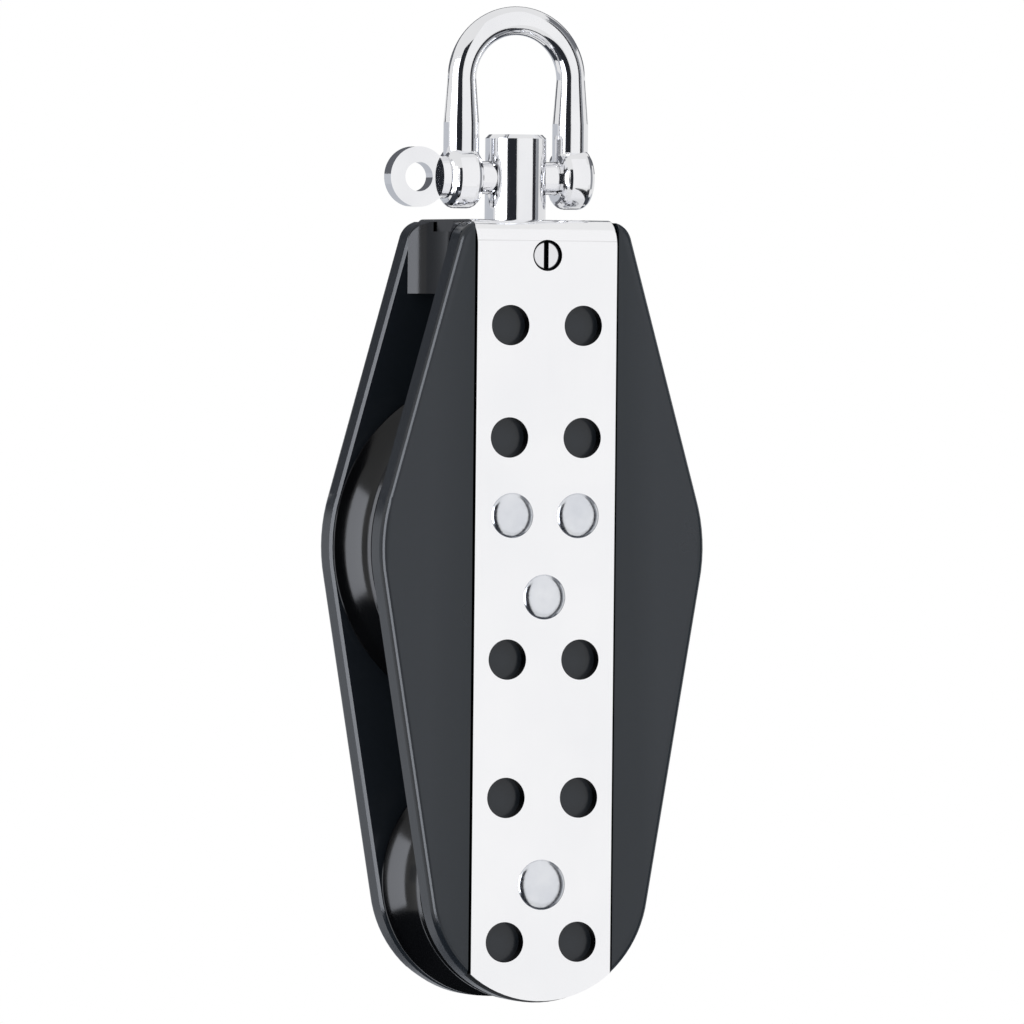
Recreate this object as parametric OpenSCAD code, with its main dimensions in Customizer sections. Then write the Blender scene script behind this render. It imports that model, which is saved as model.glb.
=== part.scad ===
// Swivel fiddle block: a large and a small ball-bearing sheave in line between two cheeks,
// a full-length U-strap, a swivel post and a D-shackle with a ring-eye pin.
// Millimetres. +X across the block, -Y its front, +Z up. The origin is the inside of the
// bow's crown. Heights below are counted from the large sheave's centre and moved at the end.

/* [Sheaves] */
// Outside diameter of the large sheave
large_d = 79; // [74:0.5:82]
// Outside diameter of the small sheave
small_d = 53.6; // [48:0.2:56]
// Distance between the two sheave centres
sheave_pitch = 76.4; // [72:0.5:84]
// Width of both sheaves over their flanges
sheave_w = 22.6; // [21.5:0.1:25]
// Width of the line groove between the flange lips
groove_w = 20.4; // [18:0.1:21.5]
// Depth of the large sheave's groove
large_groove_depth = 6.5; // [5:0.1:7]
// Depth of the small sheave's groove
small_groove_depth = 5.5; // [4.5:0.1:6]
// Gap between a sheave's side and the cheek beside it
side_gap = 1.4; // [0.3:0.05:2]
// Chamfer on the flange lips
lip_chamfer = 0.5; // [0.2:0.1:0.8]

/* [Bearings] */
// Diameter of the inner race in the large sheave
large_race_d = 35; // [34:0.5:36]
// Diameter of the inner race in the small sheave
small_race_d = 18; // [17:0.5:19]
// Diameter of the balls and of the rollers
ball_d = 4.8; // [4:0.1:5]
// Length of the rollers
roller_l = 13.2; // [12:0.1:13.6]
// Balls in each row, and rollers, of the large sheave
large_balls = 24; // [18:1:24]
// Balls in each row, and rollers, of the small sheave
small_balls = 13; // [10:1:13]
// Radial play between a ball or roller and each race
ball_play = 0.08; // [0.02:0.01:0.2]
// Depth to which the inner races are let into the cheeks
spigot_depth = 1.2; // [0.6:0.1:2]
// Step from an inner race's track down to its spigot
spigot_step = 1.5; // [1:0.1:2.5]

/* [Cheeks] */
// Thickness of a cheek
cheek_t = 7.1; // [6:0.1:9]
// How far the cheeks reach past the sheaves' rims
cheek_margin = 0.1; // [0:0.1:3]
// Height of the cheeks' top above the large sheave's centre
cheek_top = 74.4; // [70:0.1:82]
// Angle at which the upper edges lean inwards
cheek_lean = 15.9; // [12:0.1:18]
// Radius of the cheeks' top corners
cheek_corner_r = 5.3; // [3:0.1:9]
// Width of the rounding along the outer edge
edge_round_w = 1.2; // [0.6:0.1:1.8]
// Depth of the rounding along the outer edge
edge_round_d = 1.8; // [0.8:0.1:2.5]
// Chamfer along the inner edge
inner_chamfer = 0.6; // [0.3:0.1:1]

/* [Head block] */
// Half-width of the head block at the cheeks
head_half_w = 21.2; // [19:0.1:21.2]
// Height of the head block's underside above the large sheave's centre
head_bottom = 57.7; // [55:0.1:60]
// Radius of the hollow down each side of the head block
saddle_r = 20; // [15:0.5:26]

/* [Strap] */
// Width of the strap
strap_w = 34.3; // [32:0.1:35]
// Thickness of the strap
strap_t = 2.8; // [2:0.1:3.5]
// How far the strap stands proud of the cheeks
strap_proud = 0.3; // [0.1:0.05:1]
// Outer radius of the strap's two bends
strap_bend_r = 6; // [4.5:0.1:6.5]
// Gap along each edge of the strap in its channel
strap_gap = 0.45; // [0.1:0.05:0.6]
// Diameter of the lightening holes
hole_d = 9.2; // [7:0.1:10]
// Distance between the two holes of a row
hole_spacing = 17.8; // [15:0.1:20]
// Height of the top row of holes above the large sheave's centre
hole_row_top = 50.7; // [46:0.1:54]
// Height of the rows above and below the large sheave's centre
hole_row_large = 25.2; // [23:0.1:28]
// Height of the row above the small sheave's centre
hole_row_small_up = 19.8; // [17:0.1:21]
// Depth of the row below the small sheave's centre
hole_row_small_down = 13; // [12:0.1:14.5]

/* [Rivets] */
// Radius of the circle on which the large sheave's three rivets lie
rivet_circle_r = 11; // [10:0.1:11.5]
// Angle of the upper two rivets above the horizontal
rivet_angle = 43; // [38:1:50]
// Shank diameter of the large sheave's rivets
rivet_d = 6.4; // [5:0.1:7]
// Head diameter of the large sheave's rivets
rivet_head_d = 10.2; // [8.6:0.1:10.6]
// Shank diameter of the small sheave's rivet
small_rivet_d = 7.4; // [6:0.1:8]
// Head diameter of the small sheave's rivet
small_rivet_head_d = 11.4; // [9.6:0.1:12]
// Depth of the dish in a rivet's head
dish_depth = 1.1; // [0.5:0.1:1.4]

/* [Lock screw] */
// Diameter of the lock screw
lock_d = 6.6; // [5:0.1:7]
// Height of the lock screw above the large sheave's centre
lock_z = 66.6; // [65:0.1:67]
// How far the lock screw's head lies below the strap's face
lock_sunk = 0.9; // [0.4:0.1:2]
// Travel of the lock screw to the post's foot
lock_travel = 1.4; // [0.8:0.1:1.6]
// Width of the screwdriver slot
slot_w = 1.2; // [0.8:0.1:1.6]
// Depth of the screwdriver slot
slot_depth = 1.6; // [1:0.1:2]

/* [Swivel post] */
// Diameter of the swivel post
post_d = 14; // [12:0.1:14.6]
// Height of the post's top above the shackle pin's axis
post_rise = 9.9; // [8:0.1:11]
// Chamfer around the post's top
post_chamfer = 0.9; // [0.4:0.1:1.5]
// Diameter of the post's foot
foot_d = 20; // [18:0.1:20.6]
// Height of the post's foot
foot_h = 7.5; // [6:0.1:9]
// Thickness of the thrust washer over the foot
washer_t = 1; // [0.6:0.1:1.5]
// Radial clearance around the turning post and its foot
turn_play = 0.25; // [0.1:0.05:0.4]

/* [Shackle] */
// Height of the pin's axis above the strap's top
pin_rise = 9.6; // [9:0.1:12]
// Diameter of the wire in the bow's legs
wire_d = 8.2; // [7:0.1:9]
// Diameter of the bow's wire around its crown
crown_d = 6.6; // [5.5:0.1:8.2]
// Length over which the legs taper towards the crown
taper_l = 10; // [6:0.5:14]
// Half the distance between the bow's legs, centre to centre
leg_x = 13.4; // [12.6:0.1:15]
// Height of the bow's top above the pin's axis
bow_rise = 39.2; // [32:0.1:48]
// Radius of the bow's ears
ear_r = 7.1; // [6.5:0.1:7.4]
// Thickness of the bow's ears
ear_t = 7.8; // [6:0.1:8.2]
// Rounding of the ears' rims
ear_round = 2.4; // [0.5:0.1:3]
// Diameter of the shackle pin
pin_d = 7.5; // [6:0.1:8]
// Radial clearance of the pin in the ears and in the post
pin_play = 0.08; // [0.03:0.01:0.1]
// Diameter of the pin's shoulder
shoulder_d = 9.8; // [9:0.1:11]
// Length of the pin's shoulder
shoulder_l = 1.9; // [1:0.1:3]
// Distance from the shoulder's face to the middle of the pin's eye
eye_reach = 5.1; // [4.6:0.1:8]
// Outside diameter of the pin's eye
eye_d = 13.8; // [12:0.1:15]
// Diameter of the hole in the pin's eye
eye_hole_d = 6.7; // [5:0.1:7.5]
// Thickness of the pin's eye
eye_t = 4.2; // [3:0.1:5]

/* [Hidden] */

$fn = 64;
cut = 0.5;          // how far a cutting shape runs past the face it opens
far = 200;          // longer than the block in any direction
arc_step = 15;      // degrees between points along a rounded profile's arcs
edge_steps = 4;     // flats along the rounding of a cheek's outer edge
core_inset = 2.5;   // how far the middle of a cheek stays inside its outline
side_depth = 3.5;   // how far a cheek's straight rims reach inwards, over that middle
side_trim = 0.4;    // how far they stop short of their tangent points
tuck = 0.01;        // how far they lie inside their tangents, to cross the arcs cleanly
core_turn = 2;      // degrees between the middle's corners and the tangent points
core_over = 1.2;    // how far the pieces run past a cheek's faces before they are cut flat
disc_over = 0.9;
side_over = 0.6;
fit_play = 0.03;    // clearance of a pressed or clamped round part

gap_half = sheave_w / 2 + side_gap;
cheek_y = gap_half + cheek_t;
strap_y = cheek_y + strap_proud;
strap_in_y = strap_y - strap_t;
strap_top = cheek_top + strap_proud;
strap_under = strap_top - strap_t;
bend_in_r = strap_bend_r - strap_t;

big_r = large_d / 2 + cheek_margin;
end_r = small_d / 2 + cheek_margin;
low_angle = asin((big_r - end_r) / sheave_pitch);
corner_z = cheek_top - cheek_corner_r;
corner_x = (big_r - cheek_corner_r - corner_z * sin(cheek_lean)) / cos(cheek_lean);
large_at = [0, 0];
small_at = [0, -sheave_pitch];
corner_at = [corner_x, corner_z];

large_race_r = large_race_d / 2;
small_race_r = small_race_d / 2;
ball_r = ball_d / 2;
ball_y = gap_half - ball_r - ball_play;
rib_y = roller_l / 2 + ball_play;
rib_t = ball_y - ball_r - ball_play - rib_y;

pin_z = strap_top + pin_rise;
bow_top = pin_z + bow_rise;
seat_z = bow_top - crown_d;
crown_z = seat_z - leg_x + crown_d / 2;
taper_z = crown_z - taper_l;
ear_out = leg_x + wire_d / 2;
ear_in = ear_out - ear_t;
foot_top = strap_under - washer_t;
foot_bottom = foot_top - foot_h;
pocket_floor = foot_bottom - turn_play;
pocket_r = foot_d / 2 + turn_play;
lock_tip_y = foot_d / 2 + turn_play / 2 + lock_travel;
eye_x = ear_out + shoulder_l + eye_reach;

steel = [0.86, 0.87, 0.89];
black = [0.16, 0.17, 0.19];
gloss_black = [0.08, 0.08, 0.09];
white = [0.92, 0.92, 0.9];

function turn(angle) = [cos(angle), sin(angle)];

// Points along an arc, from angle a0 to angle a1
function arc(centre, r, a0, a1) =
    let (n = max(1, ceil(abs(a1 - a0) / arc_step)))
    [for (i = [0:n]) centre + r * turn(a0 + (a1 - a0) * i / n)];

// The same point on the left
function left(p) = [-p[0], p[1]];

// A cheek's edge profile, [inset from the outline, distance in front of the middle], with
// both ends run on by over, past the cheek's faces
function edge_profile(inset, over) = concat(
    [[inset + inner_chamfer, gap_half - over], [inset + inner_chamfer, gap_half]],
    [[inset, gap_half + inner_chamfer]],
    [for (k = [0:edge_steps]) [
        inset + edge_round_w * (1 - cos(90 * k / edge_steps)),
        cheek_y - edge_round_d * (1 - sin(90 * k / edge_steps))
    ]],
    [[inset + edge_round_w, cheek_y + over]]
);

// Stands a shape drawn in X and Z upright, with its height running to the front
module upright() {
    rotate([90, 0, 0]) children();
}

// The cheeks' outline: arcs as [centre, radius, first angle, last angle], joined by tangents
outline = [
    [small_at, end_r, low_angle - 180, -low_angle],
    [large_at, big_r, -low_angle, cheek_lean],
    [corner_at, cheek_corner_r, cheek_lean, 90],
    [left(corner_at), cheek_corner_r, 90, 180 - cheek_lean],
    [large_at, big_r, 180 - cheek_lean, 180 + low_angle]
];

// A cheek's rim round one arc of the outline, as the whole disc
module cheek_disc(centre, r) {
    translate(centre) rotate_extrude($fn = 128) polygon(concat(
        [[0, cheek_y + disc_over], [0, gap_half - disc_over]],
        [for (p = edge_profile(0, disc_over)) [r - p[0], p[1]]]
    ));
}

// A cheek's rim along the tangent between two of the outline's arcs
module cheek_side(from, to) {
    angle = from[3];
    start = from[0] + from[1] * turn(angle);
    end = to[0] + to[1] * turn(angle);
    translate(end) rotate([0, 0, angle]) rotate([90, 0, 0])
        translate([0, 0, side_trim]) linear_extrude(norm(end - start) - 2 * side_trim)
        polygon(concat(
            [[-side_depth, cheek_y + side_over], [-side_depth, gap_half - side_over]],
            [for (p = edge_profile(tuck, side_over)) [-p[0], p[1]]]
        ));
}

// A whole cheek without its channel and holes, standing in front of the middle
module cheek_blank() {
    upright() intersection() {
        union() {
            translate([0, 0, gap_half - core_over]) linear_extrude(cheek_t + 2 * core_over)
                polygon([for (a = outline, angle = [a[2] + core_turn, a[3] - core_turn])
                    a[0] + (a[1] - core_inset) * turn(angle)]);
            for (i = [0:3]) cheek_disc(outline[i][0], outline[i][1]);
            for (i = [0:4]) cheek_side(outline[i], outline[(i + 1) % 5]);
        }
        translate([-far / 2, small_at[1] - far / 2, gap_half])
            cube([far, far + cheek_top - small_at[1], cheek_t]);
    }
}

// A round bar along Y between y0 and y1
module bar_y(r, y0, y1) {
    translate([0, y1, 0]) rotate([90, 0, 0]) cylinder(r = r, h = y1 - y0);
}

// A solid of revolution about Y from a profile of [radius, y] points
module turned_y() {
    rotate([-90, 0, 0]) rotate_extrude($fn = 96) children();
}

// Places of the large sheave's three rivets
module at_rivets() {
    for (angle = [-90, rivet_angle, 180 - rivet_angle])
        translate([rivet_circle_r * cos(angle), 0, rivet_circle_r * sin(angle)]) children();
}

module at_small() {
    translate([0, 0, -sheave_pitch]) children();
}

// Places of the strap's lightening holes
module at_holes() {
    heights = [hole_row_top, hole_row_large, -hole_row_large,
        hole_row_small_up - sheave_pitch, -hole_row_small_down - sheave_pitch];
    for (z = heights, side = [-1, 1])
        translate([side * hole_spacing / 2, 0, z]) children();
}

// The room of the strap, cut from what it wraps around
module strap_channel() {
    half = strap_w / 2 + strap_gap;
    round_r = bend_in_r + strap_gap;
    translate([-half, -far / 2, strap_under]) cube([2 * half, far, far]);
    for (side = [-1, 1]) {
        translate([-half, side * (strap_in_y + far / 2) - far / 2, -far])
            cube([2 * half, far, 2 * far]);
        difference() {
            translate([-half, side * strap_in_y - round_r / 2 - side * round_r / 2,
                strap_under - round_r])
                cube([2 * half, round_r, round_r]);
            translate([-half - cut, side * (strap_in_y - round_r), strap_under - round_r])
                rotate([0, 90, 0]) cylinder(r = round_r, h = 2 * (half + cut));
        }
    }
}

module cheek() {
    difference() {
        cheek_blank();
        strap_channel();
        bar_y(large_race_r - spigot_step + fit_play, -gap_half - spigot_depth, 0);
        at_small() bar_y(small_race_r - spigot_step + fit_play, -gap_half - spigot_depth, 0);
        at_rivets() bar_y(rivet_d / 2 + fit_play, -far, 0);
        at_small() bar_y(small_rivet_d / 2 + fit_play, -far, 0);
    }
}

module front_cheek() {
    color(black) difference() {
        cheek();
        translate([0, 0, lock_z]) bar_y(lock_d / 2 + fit_play, -far, 0);
    }
}

module rear_cheek() {
    color(black) mirror([0, 1, 0]) cheek();
}

// The head block before it is hollowed, with the cheeks' top corners
module head_blank() {
    intersection() {
        translate([-head_half_w, -gap_half, head_bottom])
            cube([2 * head_half_w, 2 * gap_half, cheek_top - head_bottom]);
        union() {
            translate([-far / 2, -far / 2, 0]) cube([far, far, corner_z]);
            translate([-corner_x, -far / 2, 0]) cube([2 * corner_x, far, cheek_top]);
            for (side = [-1, 1]) translate([side * corner_x, 0, corner_z])
                bar_y(cheek_corner_r, -far / 2, far / 2);
        }
    }
}

module head_block() {
    color(black) difference() {
        head_blank();
        saddle_x = head_half_w + sqrt(saddle_r * saddle_r - gap_half * gap_half);
        for (side = [-1, 1])
            translate([side * saddle_x, 0, head_bottom - cut]) cylinder(r = saddle_r, h = far);
        strap_channel();
        translate([0, 0, pocket_floor]) cylinder(r = pocket_r, h = far);
        translate([0, 0, lock_z]) bar_y(lock_d / 2 + fit_play, -far, 0);
    }
}

// One leg of the strap, on the front
module strap_leg() {
    translate([-strap_w / 2, -strap_y, -sheave_pitch])
        cube([strap_w, strap_t, strap_top - strap_bend_r + sheave_pitch]);
    intersection() {
        translate([-strap_w / 2, -strap_y, -sheave_pitch - end_r])
            cube([strap_w, strap_t, end_r]);
        at_small() bar_y(end_r - strap_gap, -strap_y - cut, 0);
    }
}

// One bend of the strap, on the front
module strap_bend() {
    translate([-strap_w / 2, strap_bend_r - strap_y, strap_top - strap_bend_r])
        rotate([90, 0, 90]) rotate([0, 0, 90]) rotate_extrude(angle = 90, $fn = 96)
            translate([bend_in_r, 0]) square([strap_t, strap_w]);
}

module strap() {
    color(steel) difference() {
        union() {
            for (side = [0, 1]) mirror([0, side, 0]) {
                strap_leg();
                strap_bend();
            }
            translate([-strap_w / 2, strap_bend_r - strap_y, strap_under])
                cube([strap_w, 2 * (strap_y - strap_bend_r), strap_t]);
        }
        at_holes() bar_y(hole_d / 2, -far, far);
        at_rivets() bar_y(rivet_d / 2 + fit_play, -far, far);
        at_small() bar_y(small_rivet_d / 2 + fit_play, -far, far);
        for (side = [0, 1]) mirror([0, side, 0]) {
            at_rivets() head_seat(rivet_d, rivet_head_d);
            at_small() head_seat(small_rivet_d, small_rivet_head_d);
        }
        translate([0, 0, lock_z]) bar_y(lock_d / 2 + turn_play, -far, 0);
        translate([0, 0, strap_under - cut])
            cylinder(r = post_d / 2 + turn_play, h = strap_t + 2 * cut);
    }
}

// The countersink of a rivet's head in the strap's front face
module head_seat(shank, head) {
    depth = (head - shank) / 2;
    turned_y() polygon([
        [0, -strap_y - cut], [head / 2 + cut + fit_play, -strap_y - cut],
        [shank / 2 + fit_play, -strap_y + depth], [0, -strap_y + depth]
    ]);
}

// A rivet with a dished head on each strap leg
module rivet(shank, head) {
    depth = (head - shank) / 2;
    rim = 0.35;
    half = [
        [shank / 2, -strap_y + depth], [head / 2, -strap_y],
        [head / 2 - rim, -strap_y], [head / 2 - rim - dish_depth, -strap_y + dish_depth],
        [0, -strap_y + dish_depth]
    ];
    other = [for (i = [len(half) - 1:-1:0]) [half[i][0], -half[i][1]]];
    turned_y() polygon(concat(half, other));
}

module large_rivets() {
    color(steel) at_rivets() rivet(rivet_d, rivet_head_d);
}

module small_rivet() {
    color(steel) at_small() rivet(small_rivet_d, small_rivet_head_d);
}

// An inner race, let into both cheeks and clamped between them
module race(r) {
    bar_y(r, -gap_half, gap_half);
    bar_y(r - spigot_step, -gap_half - spigot_depth, gap_half + spigot_depth);
}

module large_race() {
    color(steel) difference() {
        race(large_race_r);
        at_rivets() bar_y(rivet_d / 2 + fit_play, -far, far);
    }
}

module small_race() {
    color(steel) at_small() difference() {
        race(small_race_r);
        bar_y(small_rivet_d / 2 + fit_play, -far, far);
    }
}

// A sheave with its line groove, its bore, and the two ribs between rollers and balls
module sheave(d, race_r, depth) {
    r = d / 2;
    bore = race_r + ball_d + 2 * ball_play;
    rib = race_r + ball_r / 2;
    arc_r = (groove_w * groove_w / 4 + depth * depth) / (2 * depth);
    half = sheave_w / 2;
    turned_y() difference() {
        polygon([
            [bore, -half], [r - lip_chamfer, -half], [r, -half + lip_chamfer],
            [r, half - lip_chamfer], [r - lip_chamfer, half], [bore, half],
            [bore, rib_y + rib_t], [rib, rib_y + rib_t], [rib, rib_y], [bore, rib_y],
            [bore, -rib_y], [rib, -rib_y], [rib, -rib_y - rib_t], [bore, -rib_y - rib_t]
        ]);
        translate([r - depth + arc_r, 0]) circle(r = arc_r, $fn = 96);
    }
}

module large_sheave() {
    color(gloss_black) sheave(large_d, large_race_r, large_groove_depth);
}

module small_sheave() {
    color(gloss_black) at_small() sheave(small_d, small_race_r, small_groove_depth);
}

// One ring of balls (row = -1 front, 1 rear) or of rollers (row = 0)
module bearing_ring(race_r, count, row) {
    pitch_r = race_r + ball_play + ball_r;
    for (i = [0:count - 1])
        rotate([0, i * 360 / count, 0]) translate([pitch_r, row * ball_y, 0])
            if (row == 0) bar_y(ball_r, -roller_l / 2, roller_l / 2);
            else sphere(r = ball_r, $fn = 32);
}

module large_rollers() {
    color(white) bearing_ring(large_race_r, large_balls, 0);
}

module large_balls_front() {
    color(white) bearing_ring(large_race_r, large_balls, -1);
}

module large_balls_rear() {
    color(white) bearing_ring(large_race_r, large_balls, 1);
}

module small_rollers() {
    color(white) at_small() bearing_ring(small_race_r, small_balls, 0);
}

module small_balls_front() {
    color(white) at_small() bearing_ring(small_race_r, small_balls, -1);
}

module small_balls_rear() {
    color(white) at_small() bearing_ring(small_race_r, small_balls, 1);
}

module lock_screw() {
    head_y = -strap_y + lock_sunk;
    color(steel) translate([0, 0, lock_z]) difference() {
        bar_y(lock_d / 2, head_y, -lock_tip_y);
        translate([-slot_w / 2, head_y - cut, -lock_d]) cube([slot_w, slot_depth + cut, 2 * lock_d]);
    }
}

module thrust_washer() {
    color(white) translate([0, 0, foot_top]) difference() {
        cylinder(r = foot_d / 2, h = washer_t);
        translate([0, 0, -cut]) cylinder(r = post_d / 2 + turn_play, h = washer_t + 2 * cut);
    }
}

module swivel_post() {
    post_top = pin_z + post_rise;
    r = post_d / 2;
    foot_r = foot_d / 2;
    color(steel) difference() {
        rotate_extrude($fn = 96) polygon([
            [0, foot_bottom], [foot_r - post_chamfer, foot_bottom],
            [foot_r, foot_bottom + post_chamfer], [foot_r, foot_top], [r, foot_top],
            [r, post_top - post_chamfer], [r - post_chamfer, post_top], [0, post_top]
        ]);
        translate([-far / 2, 0, pin_z]) rotate([0, 90, 0])
            cylinder(r = pin_d / 2 + pin_play, h = far);
    }
}

// One ear of the bow, on the right
module ear() {
    translate([0, 0, pin_z]) rotate([0, 90, 0]) rotate_extrude($fn = 96) polygon(concat(
        [[0, ear_in]],
        arc([ear_r - ear_round, ear_in + ear_round], ear_round, -90, 0),
        arc([ear_r - ear_round, ear_out - ear_round], ear_round, 0, 90),
        [[0, ear_out]]
    ));
}

module shackle_bow() {
    color(steel) difference() {
        union() {
            translate([0, 0, crown_z]) rotate([90, 0, 0]) rotate_extrude(angle = 180, $fn = 96)
                translate([leg_x, 0]) circle(r = crown_d / 2);
            for (side = [0, 1]) mirror([side, 0, 0]) {
                translate([leg_x, 0, pin_z]) cylinder(r = wire_d / 2, h = taper_z - pin_z);
                translate([leg_x, 0, taper_z])
                    cylinder(r1 = wire_d / 2, r2 = crown_d / 2, h = taper_l);
                ear();
            }
        }
        translate([-far / 2, 0, pin_z]) rotate([0, 90, 0])
            cylinder(r = pin_d / 2 + pin_play, h = far);
    }
}

module shackle_pin() {
    neck = shoulder_d / 2 - 0.3;
    color(steel) translate([0, 0, pin_z]) {
        translate([-ear_out - shoulder_l, 0, 0]) rotate([0, 90, 0])
            cylinder(r = shoulder_d / 2, h = shoulder_l);
        translate([-ear_out - cut, 0, 0]) rotate([0, 90, 0])
            cylinder(r = pin_d / 2, h = 2 * ear_out + cut);
        difference() {
            translate([0, eye_t / 2, 0]) rotate([90, 0, 0]) linear_extrude(eye_t) union() {
                translate([-eye_x, 0]) circle(r = eye_d / 2);
                polygon([
                    [-ear_out - shoulder_l + cut, -neck], [-ear_out - shoulder_l + cut, neck],
                    [-eye_x + eye_d * 0.2, eye_d * 0.44], [-eye_x + eye_d * 0.2, -eye_d * 0.44]
                ]);
            }
            translate([-eye_x, 0, 0]) bar_y(eye_hole_d / 2, -far, far);
        }
    }
}

// Moves the origin to the inside of the bow's crown
module placed() {
    translate([0, 0, -seat_z]) children();
}

placed() front_cheek();
placed() rear_cheek();
placed() head_block();
placed() strap();
placed() lock_screw();
placed() thrust_washer();
placed() large_race();
placed() small_race();
placed() large_rivets();
placed() small_rivet();
placed() large_sheave();
placed() large_rollers();
placed() large_balls_front();
placed() large_balls_rear();
placed() small_sheave();
placed() small_rollers();
placed() small_balls_front();
placed() small_balls_rear();
placed() swivel_post();
placed() shackle_bow();
placed() shackle_pin();
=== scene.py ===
"""The looks of a swivel fiddle block: finishes for its CAD nodes, a pale studio and the camera."""

import math

import bmesh
import bpy
from mathutils import Matrix, Vector

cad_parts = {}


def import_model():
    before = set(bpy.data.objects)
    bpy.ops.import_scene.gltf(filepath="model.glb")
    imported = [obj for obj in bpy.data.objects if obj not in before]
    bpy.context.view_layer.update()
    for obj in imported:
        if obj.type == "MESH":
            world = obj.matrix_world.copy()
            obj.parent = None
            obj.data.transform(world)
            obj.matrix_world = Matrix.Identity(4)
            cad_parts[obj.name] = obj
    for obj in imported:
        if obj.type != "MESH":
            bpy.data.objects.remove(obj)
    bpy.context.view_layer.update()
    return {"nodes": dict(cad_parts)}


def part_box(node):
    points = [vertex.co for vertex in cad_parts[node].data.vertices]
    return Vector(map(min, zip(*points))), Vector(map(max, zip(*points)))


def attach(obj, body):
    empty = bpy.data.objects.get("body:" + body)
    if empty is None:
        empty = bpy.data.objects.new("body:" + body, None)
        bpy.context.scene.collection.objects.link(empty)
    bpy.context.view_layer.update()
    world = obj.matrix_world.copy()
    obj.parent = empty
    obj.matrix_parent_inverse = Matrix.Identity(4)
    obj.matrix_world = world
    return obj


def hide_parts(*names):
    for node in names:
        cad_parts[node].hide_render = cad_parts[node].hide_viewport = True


# The camera, in degrees and metres
VIEW_TURN = -22.0
VIEW_RISE = 0.8
VIEW_ROLL = 0.58
VIEW_DISTANCE = 3.0
VIEW_WIDTH = 0.23403
VIEW_DEPTH = 50.0
AIM_DROP = 0.0021
SENSOR = 36.0

# The studio's surround and floor, in metres and shares of white
WORLD_SEEN = 1.0
WORLD_GLOSS = 0.84
WORLD_LIGHT = 0.62
FLOOR_DROP = 0.35
FLOOR_SIZE = 12.0
FLOOR_COLOUR = (0.86, 0.86, 0.86)
FLOOR_ROUGHNESS = 0.9
FLOOR_GLOW = 0.225

# The key lamp, in degrees, metres and watts
KEY_TURN = 40
KEY_RISE = 35
KEY_DISTANCE = 2.2
KEY_SIZE = 1.4
KEY_POWER = 24

# The cards that only reflections show: name, turns and rises that it spans in degrees, and glow
CARD_DISTANCE = 1.3
CARD_WIDEST = 110
CARDS = (
    ("front_white", (-12, 45), (-30, 74), (0.94, 0.94, 0.945)),
    ("softbox", (-97, -56), (-26, 26), (5.8, 6.0, 6.5)),
    ("left_low", (-150, -54), (-62, -29), (0.04, 0.045, 0.055)),
    ("flag_front", (-53, -16), (-60, 35), (0.02, 0.022, 0.027)),
    ("flag_right", (46, 61), (-60, 40), (0.03, 0.03, 0.035)),
    ("grey_right", (61, 76), (-60, 46), (0.3, 0.31, 0.33)),
    ("right_high", (77, 115), (22, 48), (0.16, 0.165, 0.18)),
    ("grey_back", (-185, -110), (-7, 7), (0.55, 0.57, 0.61)),
    ("back_high", (115, 215), (8, 34), (0.12, 0.125, 0.14)),
    ("grey_back_low", (116, 215), (-26, -7), (0.5, 0.52, 0.56)),
    ("back_low", (100, 215), (-45, -26), (0.06, 0.065, 0.08)),
    ("below", (-180, 180), (-120, -60), (0.05, 0.055, 0.065)),
)

# Where painted shade begins, and where the cheeks' roughness changes: the distance past a face along its
# axis, and the blur, in metres
STRAP_EDGE = (-0.0001, 0.00002)
STRAP_WALL = (-0.00015, 0.00005)
STRAP_BEND = (-0.0048, 0.0002)
SCREW_SLOT = (0.0001, 0.00003)
CHEEK_INSIDE = (0.0002, 0.0001)
CHEEK_OUTSIDE = (-0.0002, 0.0002)

# Painted shade in the screw's slot and round its rim, and on the strap's cut edges, hole walls and inner
# faces
PAINTED_SHADE = (0.012, 0.013, 0.016)
SCREW_RIM = 0.0029
SCREW_RIM_BLUR = 0.0001

# The rivets, in metres and degrees. RIVET_PAD is a share of a head's diameter, PAD_SAG of the dome's height
RIVET_CIRCLE = 0.011
RIVET_TURNS = (-90, 43, 137)
LARGE_RIVET = {"shank": 0.0064, "head": 0.0102}
SMALL_RIVET = {"shank": 0.0074, "head": 0.0114}
RIVET_DOME = 0.0011
RIVET_RIM_SINK = 0.00005
RIVET_PAD = 0.24
PAD_SAG = 0.06
PAD_RINGS = (0.25, 0.6)
DOME_POWER = 1.2
DOME_STEPS = 8
TURN_STEPS = 96

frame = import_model()
nodes = frame["nodes"]


def direction(turn, rise):
    """The unit vector at turn degrees to the right of the front, and rise degrees up."""
    turn, rise = math.radians(turn), math.radians(rise)
    return Vector((math.sin(turn) * math.cos(rise), -math.cos(turn) * math.cos(rise), math.sin(rise)))


def centre(node):
    """The middle of a CAD node's box, as (x, z)."""
    low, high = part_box(node)
    return (low[0] + high[0]) / 2, (low[2] + high[2]) / 2


# Places on the block
BOTTOM = min(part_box(name)[0][2] for name in nodes)
TOP = max(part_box(name)[1][2] for name in nodes)
MIDDLE = Vector((0, 0, (BOTTOM + TOP) / 2))
STRAP_HALF, STRAP_FACE, STRAP_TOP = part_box("strap")[1]
CHEEK_GAP, CHEEK_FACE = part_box("rear_cheek")[0][1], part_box("rear_cheek")[1][1]
SCREW_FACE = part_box("lock_screw")[0][1]
SCREW_X, SCREW_Z = centre("lock_screw")


# Materials


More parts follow.
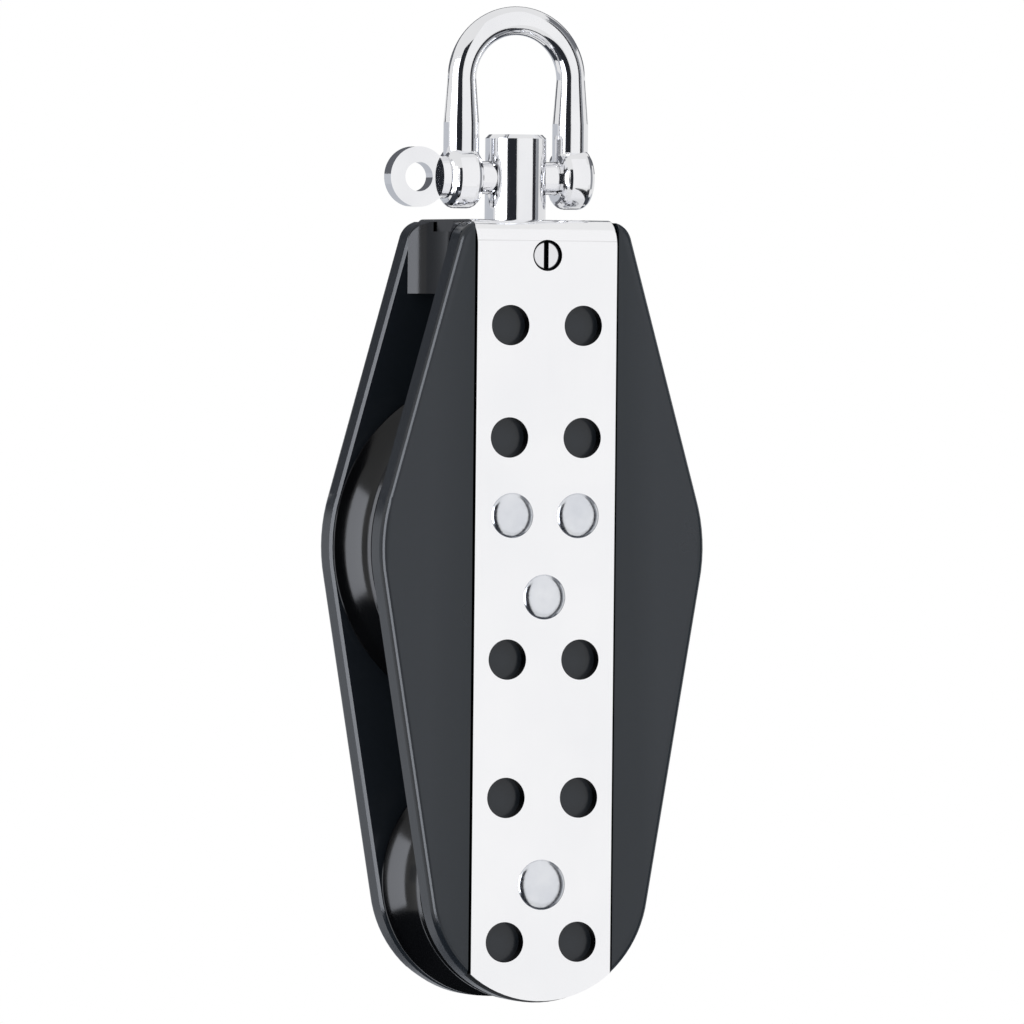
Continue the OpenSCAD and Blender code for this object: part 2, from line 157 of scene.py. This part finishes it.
class Finish:
    """A procedural material on the Principled shader, with the helpers that build it up."""

    def __init__(self, name, colour, roughness, metallic=0.0, ior=None):
        self.material = bpy.data.materials.new(name)
        self.material.use_nodes = True
        self.tree = self.material.node_tree
        self.shader = self.tree.nodes["Principled BSDF"]
        self.put(colour, self.shader.inputs["Base Color"])
        self.put(roughness, self.shader.inputs["Roughness"])
        self.put(metallic, self.shader.inputs["Metallic"])
        if ior:
            self.put(ior, self.shader.inputs["IOR"])

    def node(self, kind, **values):
        """A new node with these settings."""
        made = self.tree.nodes.new(kind)
        for name, value in values.items():
            setattr(made, name, value)
        return made

    def link(self, source, target):
        """Joins an output to an input."""
        self.tree.links.new(source, target)

    def put(self, value, socket):
        """Gives an input a number, a colour or another node's output."""
        if isinstance(value, bpy.types.NodeSocket):
            self.link(value, socket)
        elif isinstance(value, tuple):
            socket.default_value = (*value, 1)
        else:
            socket.default_value = value

    def feed(self, socket, source):
        """Drives one of the shader's inputs from another node."""
        self.link(source, self.shader.inputs[socket])

    def place(self):
        """Where a point lies in the object's own metres."""
        return self.node("ShaderNodeTexCoord").outputs["Object"]

    def noise(self, scale, detail=3.0, stretch=(1, 1, 1)):
        """Noise with scale lumps to the metre."""
        mapping = self.node("ShaderNodeMapping")
        mapping.inputs["Scale"].default_value = stretch
        self.link(self.place(), mapping.inputs["Vector"])
        made = self.node("ShaderNodeTexNoise")
        made.inputs["Scale"].default_value = scale
        made.inputs["Detail"].default_value = detail
        self.link(mapping.outputs["Vector"], made.inputs["Vector"])
        return made.outputs["Fac"]

    def axes(self):
        """The place's x, y and z."""
        made = self.node("ShaderNodeSeparateXYZ")
        self.link(self.place(), made.inputs["Vector"])
        return made.outputs

    def between(self, fac, low, high, start=0.3, end=0.7):
        """Maps fac from start..end to low..high."""
        made = self.node("ShaderNodeMapRange")
        for name, value in (("From Min", start), ("From Max", end), ("To Min", low), ("To Max", high)):
            made.inputs[name].default_value = value
        self.link(fac, made.inputs["Value"])
        return made.outputs["Result"]

    def blend(self, fac, first, second):
        """A colour between two others, by fac."""
        made = self.node("ShaderNodeMix", data_type="RGBA")
        self.link(fac, made.inputs["Factor"])
        self.put(first, made.inputs["A"])
        self.put(second, made.inputs["B"])
        return made.outputs["Result"]

    def maths(self, operation, *values):
        """The result of a sum on numbers or on other nodes' outputs."""
        made = self.node("ShaderNodeMath", operation=operation)
        for socket, value in zip(made.inputs, values):
            self.put(value, socket)
        return made.outputs["Value"]

    def beyond(self, axis, face, change, both=False):
        """0 before a change near a face along an axis and 1 after it, or so on both sides of 0."""
        value = self.axes()[axis]
        if both:
            value = self.maths("ABSOLUTE", value)
        distance, blur = change
        return self.between(value, 0, 1, face + distance - blur, face + distance + blur)

    def clouded(self, cloud, first, second):
        """Lets the colour drift between two others with a noise."""
        self.feed("Base Color", self.blend(self.between(cloud, 0, 1), first, second))

    def bump(self, *layers):
        """Bumps from (height, depth in metres, strength), one on another."""
        normal = None
        for height, depth, strength in layers:
            made = self.node("ShaderNodeBump")
            made.inputs["Distance"].default_value = depth
            made.inputs["Strength"].default_value = strength
            self.link(height, made.inputs["Height"])
            if normal:
                self.link(normal, made.inputs["Normal"])
            normal = made.outputs["Normal"]
        self.feed("Normal", normal)


def polished_steel():
    """Polished stainless steel: faint stains, fine scratches and a soft waviness."""
    finish = Finish("shackle_steel", (0.93, 0.93, 0.945), 0.06, metallic=1.0)
    stain = finish.noise(90, detail=5)
    scratch = finish.noise(900, detail=6, stretch=(1, 1, 0.06))
    wave = finish.noise(60, detail=2)
    finish.clouded(stain, (0.86, 0.865, 0.885), (0.93, 0.932, 0.945))
    finish.feed("Roughness", finish.between(stain, 0.04, 0.1))
    finish.bump((wave, 0.00012, 0.5), (scratch, 0.000004, 0.4))
    return finish.material


def slotted_steel():
    """The lock screw's polished head, with painted shade in its slot and round its rim."""
    finish = Finish("screw_steel", (0.8, 0.8, 0.82), 0.2, metallic=1.0)
    axes = finish.axes()
    across = finish.maths("SUBTRACT", axes["X"], SCREW_X)
    rise = finish.maths("SUBTRACT", axes["Z"], SCREW_Z)
    spread = finish.maths(
        "ADD",
        finish.maths("MULTIPLY", across, across),
        finish.maths("MULTIPLY", rise, rise),
    )
    inner, outer = SCREW_RIM - SCREW_RIM_BLUR, SCREW_RIM + SCREW_RIM_BLUR
    rim = finish.between(spread, 0, 1, inner ** 2, outer ** 2)
    slot = finish.beyond("Y", SCREW_FACE, SCREW_SLOT)
    # The slot and the ring round the rim are painted dark and made rough: painted shade
    slot_shade = finish.maths("MAXIMUM", slot, rim)
    finish.feed("Base Color", finish.blend(slot_shade, (0.83, 0.83, 0.85), PAINTED_SHADE))
    finish.feed("Roughness", finish.between(slot_shade, 0.16, 0.7, 0, 1))
    finish.bump((finish.noise(700, detail=4), 0.000006, 0.4))
    return finish.material


def brushed_band():
    """The strap's sheet steel, polished with a fine grain along its length, with painted shade on its cut
    edges and hole walls.
    """
    finish = Finish("strap_steel", (0.94, 0.94, 0.955), 0.12, metallic=1.0)
    grain = finish.noise(1600, detail=4, stretch=(1, 1, 0.02))
    stain = finish.noise(45, detail=4)
    wave = finish.noise(25, detail=1)
    face = finish.blend(finish.between(stain, 0, 1), (0.93, 0.933, 0.948), (0.965, 0.965, 0.975))
    # The cut sides, the hole walls and the inner faces are painted dark: painted shade in the gaps beside
    # the cheeks and inside the holes
    sides = finish.beyond("X", STRAP_HALF, STRAP_EDGE, both=True)
    skin = finish.beyond("Y", STRAP_FACE, STRAP_WALL, both=True)
    bend = finish.beyond("Z", STRAP_TOP, STRAP_BEND)
    walls = finish.maths(
        "MULTIPLY",
        finish.maths("SUBTRACT", 1.0, skin),
        finish.maths("SUBTRACT", 1.0, bend),
    )
    finish.feed("Base Color", finish.blend(finish.maths("MAXIMUM", sides, walls), face, PAINTED_SHADE))
    finish.feed("Roughness", finish.between(grain, 0.09, 0.17))
    finish.bump((grain, 0.000006, 0.35), (wave, 0.00008, 0.3))
    return finish.material


def satin_steel(name, cloud_scale):
    """Tumbled steel, bluer and duller than the strap."""
    finish = Finish(name, (0.72, 0.74, 0.78), 0.2, metallic=1.0)
    speck = finish.noise(1400, detail=5)
    finish.clouded(finish.noise(cloud_scale), (0.7, 0.72, 0.765), (0.8, 0.815, 0.845))
    finish.feed("Roughness", finish.between(speck, 0.14, 0.24))
    finish.bump((speck, 0.00002, 0.4))
    return finish.material


def cheek_plastic():
    """Charcoal glass-filled nylon with a fine moulded grain, and a painted highlight: a lighter colour
    along its sharp edges.
    """
    charcoal = (0.010, 0.014, 0.019)
    finish = Finish("cheek_nylon", charcoal, 0.3, ior=1.46)
    # Sharp edges get a lighter colour: a painted highlight
    corner = finish.node("ShaderNodeNewGeometry").outputs["Pointiness"]
    edge_highlight = finish.between(corner, 0, 1, 0.53, 0.6)
    finish.feed("Base Color", finish.blend(edge_highlight, charcoal, (0.017, 0.021, 0.027)))
    side = finish.beyond("Y", CHEEK_GAP, CHEEK_INSIDE, both=True)
    face = finish.beyond("Y", CHEEK_FACE, CHEEK_OUTSIDE, both=True)
    smooth = finish.maths(
        "ADD",
        finish.between(side, 0.08, 0.17, 0, 1),
        finish.between(face, 0, 0.12, 0, 1),
    )
    mottle = finish.between(finish.noise(35, detail=4), -0.02, 0.03)
    finish.feed("Roughness", finish.maths("ADD", smooth, mottle))
    finish.bump((finish.noise(2600), 0.00002, 0.3))
    return finish.material


def shaded_head_nylon():
    """The same nylon, moulded smooth, with its colour painted darker on the head block: painted shade."""
    # A darker copy of the cheek nylon: painted shade
    finish = Finish("head_nylon", (0.006, 0.007, 0.01), 0.12, ior=1.38)
    cloud = finish.noise(60)
    finish.clouded(cloud, (0.004, 0.005, 0.007), (0.008, 0.009, 0.012))
    finish.feed("Roughness", finish.between(cloud, 0.09, 0.14))
    return finish.material


def sheave_plastic():
    """Glossy black sheave plastic with faint mottling."""
    finish = Finish("sheave_black", (0.002, 0.0022, 0.003), 0.14, ior=1.38)
    cloud = finish.noise(60, detail=4)
    finish.clouded(cloud, (0.0015, 0.0017, 0.0022), (0.003, 0.0033, 0.004))
    finish.feed("Roughness", finish.between(cloud, 0.1, 0.18))
    finish.bump((finish.noise(500, detail=4), 0.000008, 0.3))
    return finish.material


def bearing_plastic():
    """Ivory acetal of the balls, the rollers and the washer."""
    finish = Finish("bearing_acetal", (0.79, 0.77, 0.70), 0.28, ior=1.48)
    cloud = finish.noise(300)
    finish.clouded(cloud, (0.77, 0.74, 0.665), (0.83, 0.81, 0.75))
    finish.bump((cloud, 0.00001, 0.3))
    return finish.material


def dress(material, *names):
    """Gives CAD nodes a material."""
    for name in names:
        slots = nodes[name].data.materials
        slots.clear()
        slots.append(material)


# Rivets


def turned(name, profile, places):
    """A piece turned about Y from (radius, y) points, repeated at the places (x, z)."""
    verts, faces = [], []
    for x, z in places:
        start = len(verts)
        for radius, y in profile:
            for step in range(TURN_STEPS):
                angle = 2 * math.pi * step / TURN_STEPS
                verts.append((x + radius * math.cos(angle), y, z + radius * math.sin(angle)))
        for ring in range(start, len(verts) - TURN_STEPS, TURN_STEPS):
            for step in range(TURN_STEPS):
                a, b = ring + step, ring + (step + 1) % TURN_STEPS
                faces.append((a, b, b + TURN_STEPS, a + TURN_STEPS))
        faces.append(tuple(range(start, start + TURN_STEPS)))
        faces.append(tuple(reversed(range(len(verts) - TURN_STEPS, len(verts)))))
    mesh = bpy.data.meshes.new(name)
    mesh.from_pydata(verts, [], faces)
    solid = bmesh.new()
    solid.from_mesh(mesh)
    bmesh.ops.recalc_face_normals(solid, faces=solid.faces)
    solid.to_mesh(mesh)
    solid.free()
    mesh.polygons.foreach_set("use_smooth", [True] * len(mesh.polygons))
    made = bpy.data.objects.new(name, mesh)
    bpy.context.scene.collection.objects.link(made)
    return made


def domed_rivet(node, material, places, shank, head):
    """Rivets with low-domed heads in place of a CAD node's."""
    pad = head * RIVET_PAD
    half = [(pad * part, STRAP_FACE + RIVET_DOME * (1 - PAD_SAG * part ** 2)) for part in PAD_RINGS]
    for step in range(DOME_STEPS + 1):
        angle = math.radians(90 * step / DOME_STEPS)
        fall = (1 - PAD_SAG) * math.cos(angle) ** DOME_POWER
        half.append((
            pad + (head / 2 - pad) * math.sin(angle),
            STRAP_FACE - RIVET_RIM_SINK + RIVET_DOME * fall,
        ))
    half.append((shank / 2, STRAP_FACE - (head - shank) / 2))
    profile = half + [(radius, -y) for radius, y in reversed(half)]
    made = turned("domed_" + node, profile, places)
    made.data.materials.append(material)
    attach(made, "frame")
    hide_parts(node)


def on_circle(middle, radius, turn):
    """The place (x, z) at turn degrees round a middle."""
    angle = math.radians(turn)
    return middle[0] + radius * math.cos(angle), middle[1] + radius * math.sin(angle)


# The studio


def world():
    """A white surround: pure white to the camera, near white in reflections, softer as light."""
    made = bpy.data.worlds.new("studio")
    bpy.context.scene.world = made
    made.use_nodes = True
    made.cycles.sampling_method = "NONE"
    tree = made.node_tree
    tree.nodes.clear()
    path = tree.nodes.new("ShaderNodeLightPath")

    def background(strength):
        shade = tree.nodes.new("ShaderNodeBackground")
        shade.inputs["Color"].default_value = (1, 1, 1, 1)
        shade.inputs["Strength"].default_value = strength
        return shade.outputs["Background"]

    def choose(fac, no, yes):
        mix = tree.nodes.new("ShaderNodeMixShader")
        tree.links.new(fac, mix.inputs["Fac"])
        tree.links.new(no, mix.inputs[1])
        tree.links.new(yes, mix.inputs[2])
        return mix.outputs["Shader"]

    lit = choose(path.outputs["Is Glossy Ray"], background(WORLD_LIGHT), background(WORLD_GLOSS))
    seen = choose(path.outputs["Is Camera Ray"], lit, background(WORLD_SEEN))
    tree.links.new(seen, tree.nodes.new("ShaderNodeOutputWorld").inputs["Surface"])


def floor():
    """A plain white floor well below the hanging block, which glows twice as bright to the camera."""
    bpy.ops.mesh.primitive_plane_add(size=FLOOR_SIZE, location=(0, 0, BOTTOM - FLOOR_DROP))
    made = bpy.context.object
    made.name = "floor"
    finish = Finish("floor_white", FLOOR_COLOUR, FLOOR_ROUGHNESS)
    seen = finish.node("ShaderNodeLightPath").outputs["Is Camera Ray"]
    glow = finish.node("ShaderNodeEmission")
    finish.link(finish.maths("MULTIPLY_ADD", seen, FLOOR_GLOW, FLOOR_GLOW), glow.inputs["Strength"])
    both = finish.node("ShaderNodeAddShader")
    finish.link(finish.shader.outputs["BSDF"], both.inputs[0])
    finish.link(glow.outputs["Emission"], both.inputs[1])
    finish.link(both.outputs["Shader"], finish.tree.nodes["Material Output"].inputs["Surface"])
    made.data.materials.append(finish.material)
    made.visible_glossy = False


def facing(obj, turn, rise, distance):
    """Puts a card or lamp on that side of the block, facing it."""
    towards = direction(turn, rise)
    obj.location = MIDDLE + towards * distance
    obj.rotation_euler = towards.to_track_quat("Z", "Y").to_euler()


def card(name, turns, rises, glow):
    """A card that shows in reflections only, spanning two turns and two rises in degrees."""
    bpy.ops.mesh.primitive_plane_add(size=1)
    made = bpy.context.object
    made.name = name
    width, height = (
        2 * CARD_DISTANCE * math.tan(math.radians(min(high - low, CARD_WIDEST)) / 2)
        for low, high in (turns, rises)
    )
    made.scale = (width, height, 1)
    facing(made, sum(turns) / 2, sum(rises) / 2, CARD_DISTANCE)
    finish = Finish(name, (0, 0, 0), 0.5)
    finish.put(0.0, finish.shader.inputs["Specular IOR Level"])
    finish.put(glow, finish.shader.inputs["Emission Color"])
    finish.put(1.0, finish.shader.inputs["Emission Strength"])
    made.data.materials.append(finish.material)
    made.visible_camera = False
    made.visible_diffuse = False
    made.visible_shadow = False
    made.visible_transmission = False


def key_lamp():
    """A square softbox from the upper right, which reflections don't show."""
    lamp = bpy.data.lights.new("key", "AREA")
    lamp.shape = "SQUARE"
    lamp.size = KEY_SIZE
    lamp.energy = KEY_POWER
    made = bpy.data.objects.new("key", lamp)
    made.visible_glossy = False
    bpy.context.scene.collection.objects.link(made)
    facing(made, KEY_TURN, KEY_RISE, KEY_DISTANCE)


def camera():
    """A long lens a little to the left of the block's front."""
    back = direction(VIEW_TURN, VIEW_RISE)
    level = Vector((0, 0, 1)).cross(back).normalized()
    upright = back.cross(level)
    roll = math.radians(VIEW_ROLL)
    right = level * math.cos(roll) + upright * math.sin(roll)
    up = upright * math.cos(roll) - level * math.sin(roll)
    place = MIDDLE - Vector((0, 0, AIM_DROP)) + back * VIEW_DISTANCE
    made = bpy.data.objects.new("camera", bpy.data.cameras.new("camera"))
    bpy.context.scene.collection.objects.link(made)
    made.matrix_world = Matrix.Translation(place) @ Matrix((right, up, back)).transposed().to_4x4()
    made.data.sensor_width = SENSOR
    made.data.lens = SENSOR * VIEW_DISTANCE / VIEW_WIDTH
    made.data.clip_end = VIEW_DEPTH
    bpy.context.scene.camera = made


rivet_steel = satin_steel("rivet_steel", 160)
dress(polished_steel(), "shackle_bow", "shackle_pin", "swivel_post")
dress(slotted_steel(), "lock_screw")
dress(brushed_band(), "strap")
dress(rivet_steel, "large_rivets", "small_rivet")
dress(satin_steel("race_steel", 320), "large_race", "small_race")
dress(cheek_plastic(), "front_cheek", "rear_cheek")
dress(shaded_head_nylon(), "head_block")
dress(sheave_plastic(), "large_sheave", "small_sheave")
dress(
    bearing_plastic(),
    "thrust_washer",
    "large_rollers", "large_balls_front", "large_balls_rear",
    "small_rollers", "small_balls_front", "small_balls_rear",
)

large_places = [on_circle(centre("large_sheave"), RIVET_CIRCLE, turn) for turn in RIVET_TURNS]
domed_rivet("large_rivets", rivet_steel, large_places, **LARGE_RIVET)
domed_rivet("small_rivet", rivet_steel, [centre("small_sheave")], **SMALL_RIVET)

world()
floor()
for row in CARDS:
    card(*row)
key_lamp()
camera()

bpy.context.scene.view_settings.view_transform = "Standard"
